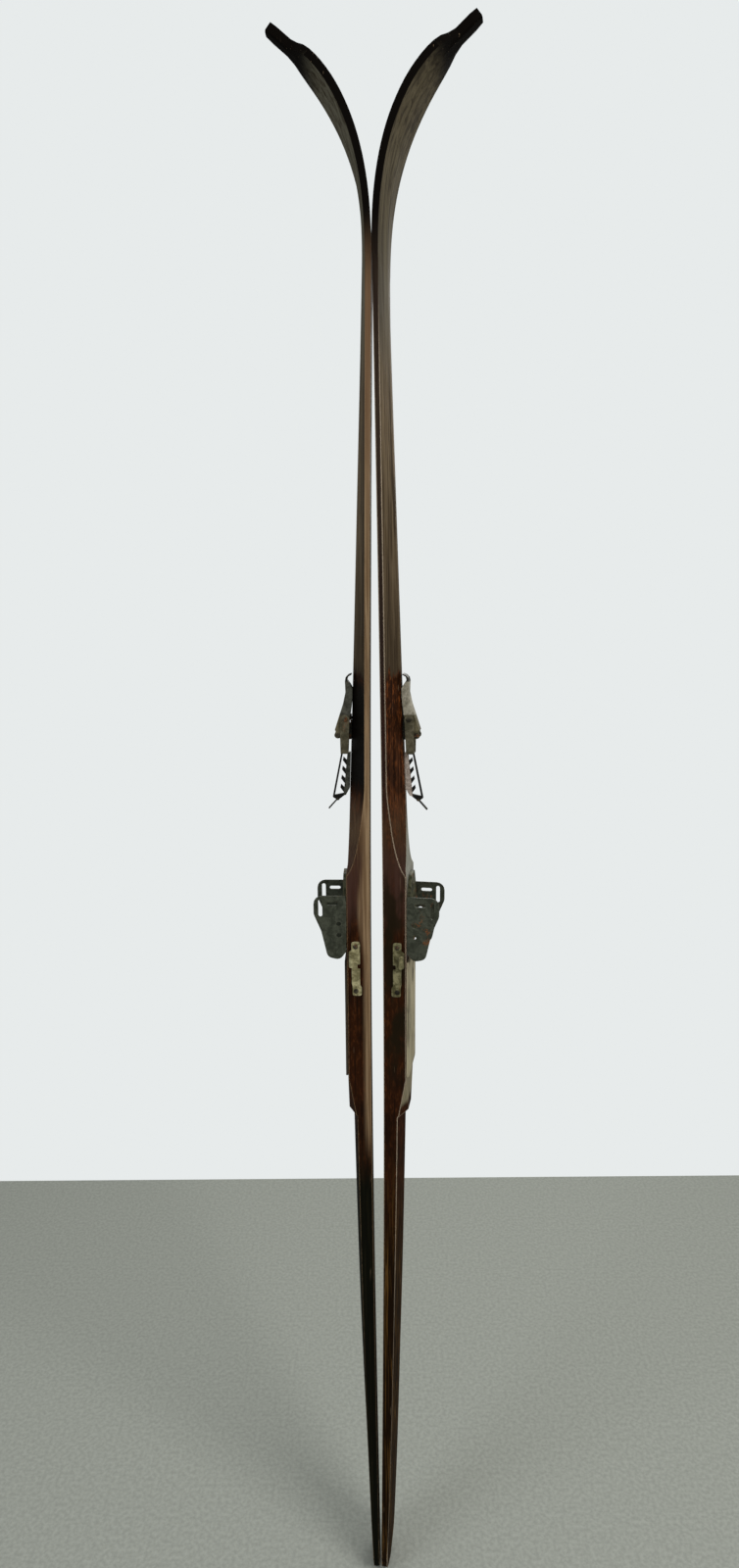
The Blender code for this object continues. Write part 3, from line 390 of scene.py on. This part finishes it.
def varnish(n, at, side):
    """The stretches from tail to tip, with hazy and rubbed varnish where the platform ends."""
    red = mahogany(n, at)
    colour = n.mix(n.step(at["ragged"], *TAIL_TO_MAHOGANY[side]), tail_wood(n, at, side), red)
    colour = n.mix(n.step(at["ragged"], *MAHOGANY_TO_GREY), colour, grey_wood(n, at))
    sweep = n.times(n.band(at["ragged"], *RUBBED_SWEEP, 0.025), n.step(at["grain"], 0.30, 0.60))
    colour = n.mix(n.times(sweep, SWEEP_STRENGTH[side]), colour, BARE_WOOD_DIM)
    patchy = n.step(at["figure"], 0.35, 0.60, 0.50, 1.0)
    return n.mix(n.times(n.band(at["ragged"], *HAZY_PATCH, 0.03), patchy), colour, MAROON_HAZE)


def left_wear(n, at, colour):
    """A black facet beside the lever, sidewalls worn bare ahead of the platform and by the base, the bare
    strip reaching further out as a painted highlight over one stretch.
    """
    facet = n.times(n.band(at["ragged"], *BLACK_FACET, 0.022), at["top"])
    colour = n.mix(facet, colour, NEAR_BLACK)
    tone = n.mix(n.step(at["grain"], 0.36, 0.60), BARE_WOOD, BARE_WOOD_DIM)
    tone = n.mix(n.step(at["along"], *RED_WALL, 0.0, 0.7), tone, RED_STAIN)
    bare = n.times(at["fore_wall"], n.step(at["along"], *BARE_WALL_STOPS))
    colour = n.mix(n.times(bare, 0.85), colour, tone)
    # painted highlight: the bare strip reaches further out over this stretch
    highlight_bulge = n.times(n.band(at["along"], *HIGHLIGHT_STRETCH, 0.04), HIGHLIGHT_REACH)
    strip = n.times(n.step(n.minus(at["depth"], highlight_bulge), *STRIP_DEPTH), at["sidewall"])
    strip = n.times(strip, n.band(at["ragged"], *BARE_STRIP, 0.04))
    strip = n.times(strip, n.step(at["figure"], 0.70, 0.52, 0.45, 1.0))
    return n.mix(n.times(strip, 0.9), colour, tone)


def right_wear(n, at, colour):
    """Near-black sidewalls ahead of a grimy platform, a front ramp whose flat top is pale with dust and a
    painted reflection, and a bare heel.
    """
    colour = n.mix(n.times(at["fore_wall"], 0.85), colour, DARK_WALL)
    grimy = n.times(n.band(at["ragged"], *GRIMY_PLATFORM, 0.03), n.step(at["cloud"], 0.40, 0.56))
    colour = n.mix(n.times(grimy, 0.8), colour, PLATFORM_GRIME)
    uneven = n.times(n.step(at["grain"], 0.66, 0.50, 0.5, 1.0), at["faces_out"])
    # dust and a painted reflection on the ramp's flat top
    ramp = n.times(n.band(at["ragged"], *DUST_AND_REFLECTION_RAMP, 0.025), at["ridge_flat"])
    colour = n.mix(n.times(ramp, uneven), colour, DUST_AND_REFLECTION_TOP)
    heel = n.times(n.band(at["along"], *HEEL, 0.006), uneven)
    return n.mix(n.times(heel, 0.85), colour, BARE_HEEL)


def tip_wear(n, at, side, colour):
    """Greyer faces towards the tip, the left tip's face lighter with a painted sheen, and black sidewalls
    and nib.
    """
    # grey tip face; on the left ski lighter with a painted sheen
    grey = n.mix(n.step(at["figure"], 0.35, 0.65), TIP_FACE_WITH_LEFT_SHEEN[side], TIP_STAIN)
    face = n.times(n.step(at["along"], *GREY_TIP_FACE), at["top"])
    colour = n.mix(n.times(face, 0.88), colour, grey)
    wall = n.times(n.step(at["along"], *BLACK_TIP_WALL), at["sidewall"])
    return n.mix(n.math("MAXIMUM", wall, n.step(at["along"], *BLACK_NIB)), colour, NEAR_BLACK)


def arris_wear_and_highlight(n, at, side):
    """How far each arris is worn to bare wood, most of all on the right ski, where the pale line is also
    a painted highlight.
    """
    worn = n.edges(ARRIS_RADIUS[side], 0.93, 0.995)
    breaks = n.step(n.plus(at["fleck"], n.times(at["figure"], 0.6)), 0.62, 0.84)
    worn = n.times(worn, n.blend(breaks, ARRIS_LEAST[side], 1.0))
    worn = n.times(worn, n.step(at["along"], *WORN_ARRIS_STOPS))
    past_tail = n.step(at["along"], *ARRIS_PAST_TAIL, 0.35, 1.0)
    return n.times(worn, n.math("MAXIMUM", past_tail, n.step(at["along"], *SCUFFED_TAIL_END)))


def wood_roughness(n, at, worn):
    """Dull varnish, duller weathered wood, and the dullest at the worn edges, tail and tip."""
    varnished = n.blend(at["fleck"], 0.34, 0.56)
    weathered = n.blend(at["figure"], 0.50, 0.66)
    rough = n.blend(n.step(at["ragged"], *VARNISH_TO_DULL), varnished, weathered)
    rough = n.blend(worn, rough, 0.75)
    rough = n.blend(n.step(at["along"], *ROUGH_TIP), rough, 0.85)
    return n.blend(n.step(at["along"], *ROUGH_TAIL), rough, 0.80)


def wood_relief(n, at, scratches):
    """Open pores, raised grain and cut scratches, all of it fainter at the tip."""
    relief = n.plus(n.times(at["pores"], 0.6), n.times(at["grain"], 0.4))
    relief = n.minus(relief, n.times(scratches, 0.35))
    return n.times(relief, n.step(at["along"], *RELIEF_STOPS, 0.15, 1.0))


def wood_material(side):
    """Old varnished hickory: red-brown round the binding, grey-brown in front, black behind."""
    n = Nodes(f"{side}_ski_wood")
    at = ski_fields(n, side)
    wear = left_wear if side == "left" else right_wear
    colour = wear(n, at, varnish(n, at, side))
    colour = tip_wear(n, at, side, colour)
    # worn arrises; along the right ski's arrises the pale line is also a painted highlight
    worn = arris_wear_and_highlight(n, at, side)
    colour = n.mix(n.times(worn, 0.9), colour, WORN_ARRIS_AND_HIGHLIGHT[side])
    running_surface = n.mix(n.step(at["grain"], 0.46, 0.62), BASE_TAR, BASE_SCRAPE)
    colour = n.mix(at["base"], colour, running_surface)
    scratches = n.step(at["scratch"], 0.71, 0.745)
    colour = n.mix(n.times(scratches, 0.55), colour, SCRATCH)
    relief = wood_relief(n, at, scratches)
    n.sheen(WOOD_SHEEN)
    return n.finish(colour, wood_roughness(n, at, worn), n.bump(relief, 0.35, 0.5 * MM))


def pad_material(side):
    """The foot pad: bare greyed wood, painted pale with light on the right ski and painted dark with
    shade on the left.
    """
    n = Nodes(f"{side}_foot_pad_worn")
    point = n.point()
    fibre = n.noise(n.mapped(point, (300, 300, 9)), 1.0, 5.0, 0.6, 0.4)
    stain = n.noise(n.mapped(point, (90, 90, 26)), 1.0, 4.0, 0.6, 0.6)
    colour = n.mix(n.step(fibre, 0.36, 0.60), *PAD_LIT_AND_SHADED[side])
    colour = n.mix(n.step(stain, 0.54, 0.68), colour, PAD_STAIN)
    grime = n.edges(1.5 * MM, 0.88, 0.99)
    colour = n.mix(n.times(grime, 0.6), colour, PAD_GRIME)
    n.sheen(PAD_SHEEN)
    return n.finish(colour, n.blend(stain, 0.62, 0.86), n.bump(fibre, 0.5, 0.6 * MM))


# ---- metal -------------------------------------------------------------------------------------

def metal_fields(n):
    """The patterns that all the old metal shares."""
    point = n.point()
    return {
        "blotch": n.noise(point, 110.0, 5.0, 0.62, 0.8),
        "fine": n.noise(point, 640.0, 4.0, 0.6),
        "broad": n.noise(point, 46.0, 3.0, 0.55, 0.5),
        "pits": n.step(n.specks(point, 900.0), 0.16, 0.05),
    }


def aged(n, skin, field, rust_amount, metallic, worn_edge):
    """Grime, rust blooms, pits and rubbed edges laid over a metal skin."""
    colour = n.mix(n.step(field["fine"], 0.50, 0.68, 0.0, 0.45), skin, GRIME)
    mask = n.plus(field["broad"], n.times(n.minus(field["fine"], 0.5), 0.35))
    rusty = n.step(mask, 0.72 - 0.18 * rust_amount, 0.80 - 0.18 * rust_amount)
    colour = n.mix(rusty, colour, n.mix(n.step(field["fine"], 0.35, 0.65), *RUST))
    edge = n.times(n.edges(0.7 * MM, 0.88, 0.99), n.step(field["blotch"], 0.40, 0.56))
    colour = n.mix(n.times(edge, 0.75), colour, worn_edge)
    colour = n.mix(n.times(field["pits"], 0.6), colour, GRIME)
    shine = n.times(n.minus(1.0, rusty), metallic)
    rough = n.blend(rusty, n.blend(field["blotch"], 0.38, 0.62), 0.88)
    relief = n.minus(n.times(field["fine"], 0.5), n.times(field["pits"], 0.5))
    relief = n.plus(relief, n.times(rusty, 0.4))
    n.sheen(METAL_SHEEN)
    return n.finish(colour, rough, n.bump(relief, 0.45, 0.25 * MM), metallic=shine)


def plain_metal(name, dark, light, rust_amount, metallic, worn_edge):
    """One metal finish all over a piece."""
    n = Nodes(name)
    field = metal_fields(n)
    skin = n.mix(n.step(field["blotch"], 0.38, 0.64), dark, light)
    return aged(n, skin, field, rust_amount, metallic, worn_edge)


def unit_place(n, side):
    """Place on the lever unit: (height above the ridge seat, distance along from the pivot)."""
    out, _, along = n.parts(bench(n, side, n.point()))
    return n.minus(out, SEAT_OUT), n.minus(along, LEVER_PIVOT_HEIGHT)


def lever_material(side):
    """Olive grime over the pivot, towards the finger end pale with painted light on the right ski and
    dark with painted shade on the left, a dark rim.
    """
    n = Nodes(f"{side}_lever_skin")
    _, along = unit_place(n, side)
    field = metal_fields(n)
    blotch = n.step(field["blotch"], 0.30, 0.68)
    border = n.plus(along, n.times(n.minus(field["broad"], 0.5), LEVER_BORDER_WANDER))
    olive = n.mix(blotch, *LEVER_OLIVE)
    skin = n.mix(n.step(border, *OLIVE_TO_TONES), olive, n.mix(blotch, *LEVER_LIT_AND_SHADED[side]))
    skin = n.mix(n.step(along, *TONES_TO_RIM), skin, LEVER_RIM)
    return aged(n, skin, field, 0.1, 0.35, LEVER_WORN)


def rack_material(side):
    """Inner rail pale with painted light on the right ski and dark with painted shade on the left, olive
    fork, teeth and outer rod painted near-black as shade.
    """
    n = Nodes(f"{side}_rack_skin")
    high, along = unit_place(n, side)
    field = metal_fields(n)
    blotch = n.step(field["blotch"], 0.36, 0.62)
    rail_top = n.minus(RAIL_TOP_AT_PIVOT, n.times(along, RAIL_SLOPE))
    # above the rail: teeth and outer rod painted near-black as shade
    over_rail = n.step(n.minus(high, rail_top), 0.0, RAIL_TO_TEETH)
    # rail painted light on the right ski and painted shade on the left
    skin = n.mix(over_rail, n.mix(blotch, *RAIL_LIT_AND_SHADED[side]), TEETH_SHADE_BLACK)
    skin = n.mix(n.step(along, *RAIL_TO_FORK), skin, n.mix(blotch, *FORK_OLIVE))
    return aged(n, skin, field, 0.35, 0.35, RACK_WORN)


# ---- dressing the CAD --------------------------------------------------------------------------

def soften(thing, width):
    """Rounds a CAD piece's sharp edges a little."""
    weld = thing.modifiers.new("weld", "WELD")
    weld.merge_threshold = WELD_DISTANCE
    bevel = thing.modifiers.new("soft_edges", "BEVEL")
    bevel.width = width
    bevel.segments = 2
    bevel.limit_method = "ANGLE"
    bevel.angle_limit = SOFT_FROM_ANGLE
    bevel.use_clamp_overlap = True


def look_of(side, piece, metal, own):
    """A piece's material, and how far its edges are softened."""
    if "screw" in piece or piece.endswith("_pin"):
        return metal["screw"], SCREW_SOFTENING
    if piece in OWN_SOFTENING:
        return own[side][piece], OWN_SOFTENING[piece]
    if piece.startswith("cable_guide"):
        return metal[f"{side}_guide"], GUIDE_SOFTENING
    finish, width = next(look for key, look in SHARED_FINISH.items() if piece.startswith(key))
    return metal[finish], width


def dress(nodes):
    """Gives every CAD node its material and softened edges."""
    metal = {name: plain_metal(f"{name}_skin", *finish) for name, finish in METAL_FINISHES.items()}
    own = {side: {"ski": wood_material(side), "throw_lever": lever_material(side),
                  "tension_rack": rack_material(side), "foot_pad": pad_material(side)} for side in SIDES}
    for name, thing in nodes.items():
        side, piece = name.split("_", 1)
        paint, width = look_of(side, piece, metal, own)
        thing.data.materials.clear()
        thing.data.materials.append(paint)
        soften(thing, width)


# ---- the room ----------------------------------------------------------------------------------

def set_camera():
    """The photograph's camera."""
    pitch, yaw, roll = CAMERA_PITCH, CAMERA_YAW, CAMERA_ROLL
    ahead = Vector((-math.sin(yaw) * math.cos(pitch), math.cos(yaw) * math.cos(pitch), -math.sin(pitch)))
    right = Vector((math.cos(yaw), math.sin(yaw), 0))
    up = right.cross(ahead)
    rolled_right = right * math.cos(roll) + up * math.sin(roll)
    rolled_up = up * math.cos(roll) - right * math.sin(roll)
    data = bpy.data.cameras.new("photo_camera")
    camera = bpy.data.objects.new("photo_camera", data)
    bpy.context.scene.collection.objects.link(camera)
    matrix = Matrix((rolled_right, rolled_up, -ahead)).transposed().to_4x4()
    matrix.translation = Vector(CAMERA_AT)
    camera.matrix_world = matrix
    data.sensor_width = SENSOR
    data.lens = CAMERA_LENS
    data.clip_start = CLIP_START
    bpy.context.scene.camera = camera


def make_floor():
    """A plain floor whose far edge shows behind the tails."""
    left, right = -FLOOR_HALF_WIDTH, FLOOR_HALF_WIDTH
    corners = [(left, FLOOR_NEAR, 0), (right, FLOOR_NEAR, 0), (right, FLOOR_FAR, 0), (left, FLOOR_FAR, 0)]
    mesh = bpy.data.meshes.new("floor")
    mesh.from_pydata(corners, [], [(0, 1, 2, 3)])
    floor = bpy.data.objects.new("floor", mesh)
    bpy.context.scene.collection.objects.link(floor)
    floor.location = (CAMERA_AT[0], 0, -FLOOR_DROP)
    floor.rotation_euler.z = CAMERA_YAW
    n = Nodes("floor_weave")
    weave = n.noise(n.point(), 160.0, 3.0, 0.6)
    tone = n.mix(n.step(weave, 0.3, 0.7), tuple(c * WEAVE_SHADE for c in FLOOR_COLOUR), FLOOR_COLOUR)
    mesh.materials.append(n.finish(tone, 0.9))


def area_light(name, at, aim_height, size, power, colour):
    """One soft rectangular light, aimed at a height on the pair."""
    data = bpy.data.lights.new(name, "AREA")
    data.shape = "RECTANGLE"
    data.size, data.size_y = size
    data.energy = power
    data.color = colour
    light = bpy.data.objects.new(name, data)
    bpy.context.scene.collection.objects.link(light)
    light.location = at
    aim = Vector((0, 0, aim_height)) - Vector(at)
    light.rotation_euler = aim.to_track_quat("-Z", "Y").to_euler()


def set_world():
    """A bright backdrop for the camera, and softer light on the pair from all round."""
    world = bpy.data.worlds.new("studio")
    world.use_nodes = True
    tree = world.node_tree
    backdrop = tree.nodes["Background"]
    backdrop.inputs["Color"].default_value = (*BACKDROP, 1.0)
    ambient = tree.nodes.new("ShaderNodeBackground")
    ambient.inputs["Color"].default_value = (*AMBIENT, 1.0)
    seen = tree.nodes.new("ShaderNodeLightPath")
    choose = tree.nodes.new("ShaderNodeMixShader")
    tree.links.new(seen.outputs["Is Camera Ray"], choose.inputs[0])
    tree.links.new(ambient.outputs[0], choose.inputs[1])
    tree.links.new(backdrop.outputs[0], choose.inputs[2])
    tree.links.new(choose.outputs[0], tree.nodes["World Output"].inputs["Surface"])
    bpy.context.scene.world = world


def set_light():
    """A soft key from the right, a weaker fill from the left and one behind the pair."""
    for light in LIGHTS:
        area_light(*light)
    bpy.context.scene.view_settings.view_transform = "Standard"


# ---- build -------------------------------------------------------------------------------------

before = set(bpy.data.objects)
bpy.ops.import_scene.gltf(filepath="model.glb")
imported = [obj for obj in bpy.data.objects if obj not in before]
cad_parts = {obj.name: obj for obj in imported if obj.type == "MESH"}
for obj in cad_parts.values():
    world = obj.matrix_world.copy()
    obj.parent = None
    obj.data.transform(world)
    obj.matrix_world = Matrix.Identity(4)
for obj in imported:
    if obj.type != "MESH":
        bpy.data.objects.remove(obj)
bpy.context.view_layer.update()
set_camera()
set_world()
set_light()
make_floor()
dress(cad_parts)
